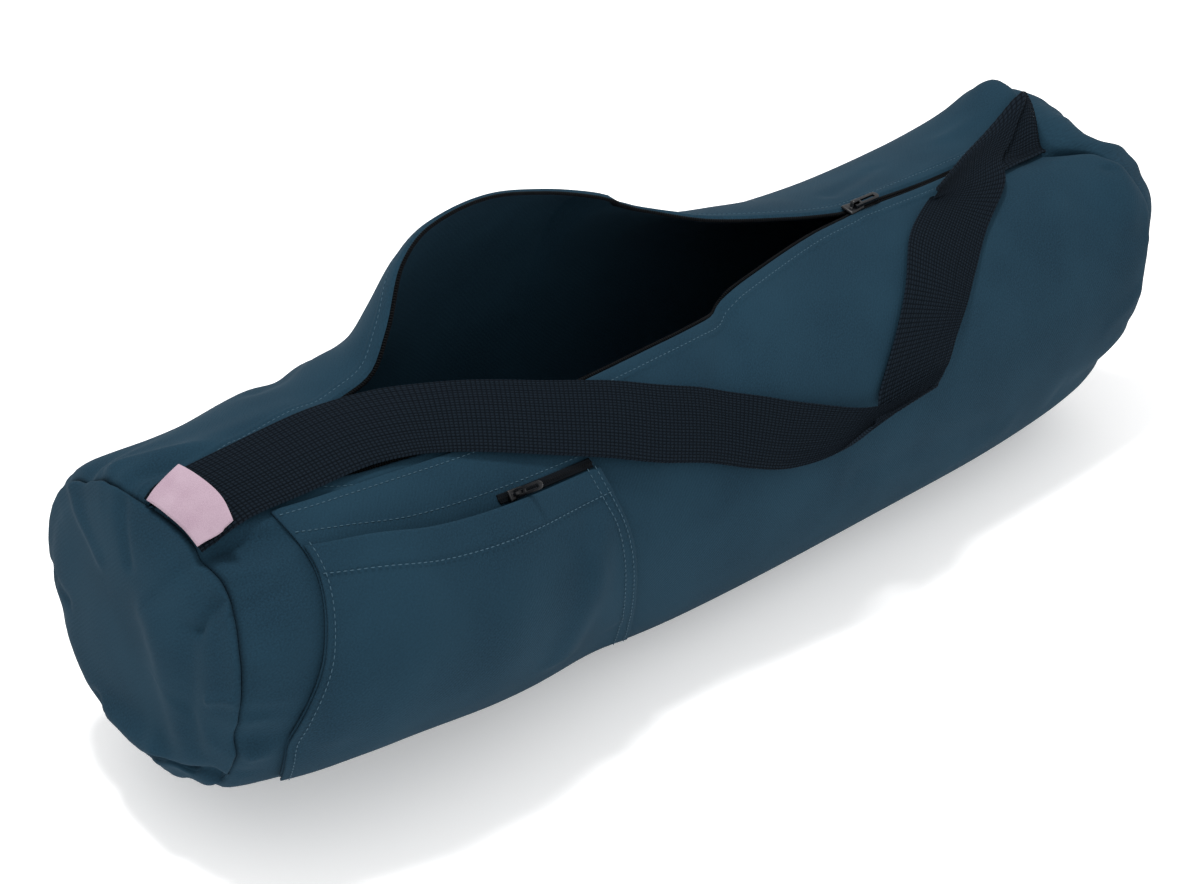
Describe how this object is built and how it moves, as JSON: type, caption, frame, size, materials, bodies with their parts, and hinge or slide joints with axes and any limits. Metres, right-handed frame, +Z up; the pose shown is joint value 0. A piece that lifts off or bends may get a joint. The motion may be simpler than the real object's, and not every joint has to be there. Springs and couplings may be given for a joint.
{
  "type": "yoga mat bag",
  "caption": "Long round cloth bag lying on its side, its zip half open, with a flat webbing shoulder strap folded across the front and a zipped slip pocket.",
  "frame": {"origin": "on the floor, in the middle of the flat strip that the bag rests on, under the middle of its length", "axes": "+X along the bag towards the closed end of its zip, -Y towards the pocket at the front, +Z up"},
  "size_m": [0.7114, 0.2111, 0.2433],
  "materials": {
    "twill": "matte slate blue cotton twill",
    "webbing": "matte near-black ribbed webbing",
    "label": "pale mauve woven label, bare",
    "zip_tape": "near-black woven tape with a nylon coil",
    "slider_metal": "black enamel, semi-gloss"
  },
  "bodies": {
    "bag": {"bag_body": "twill", "end_cap_left": "twill", "end_cap_right": "twill", "pocket_back": "twill", "pocket_front": "twill", "shoulder_strap": "webbing", "seam_label": "label", "zip_tape_near": "zip_tape", "zip_tape_far": "zip_tape", "pocket_zip": "zip_tape", "zip_slider": "slider_metal", "pocket_slider": "slider_metal"},
    "main_pull": {"zip_pull": "slider_metal"},
    "small_pull": {"pocket_pull": "slider_metal"}
  },
  "joints": [
    {"name": "main_pull_hinge", "type": "hinge", "parent": "bag", "child": "main_pull", "pos_m": [0.13902, -0.01712, 0.18766], "axis": [0, -0.9848, -0.1736], "range_deg": [0, 120]},
    {"name": "small_pull_hinge", "type": "hinge", "parent": "bag", "child": "small_pull", "pos_m": [-0.16859, -0.08488, 0.15838], "axis": [0, -0.6038, -0.7972], "range_deg": [-55, 50]}
  ]
}
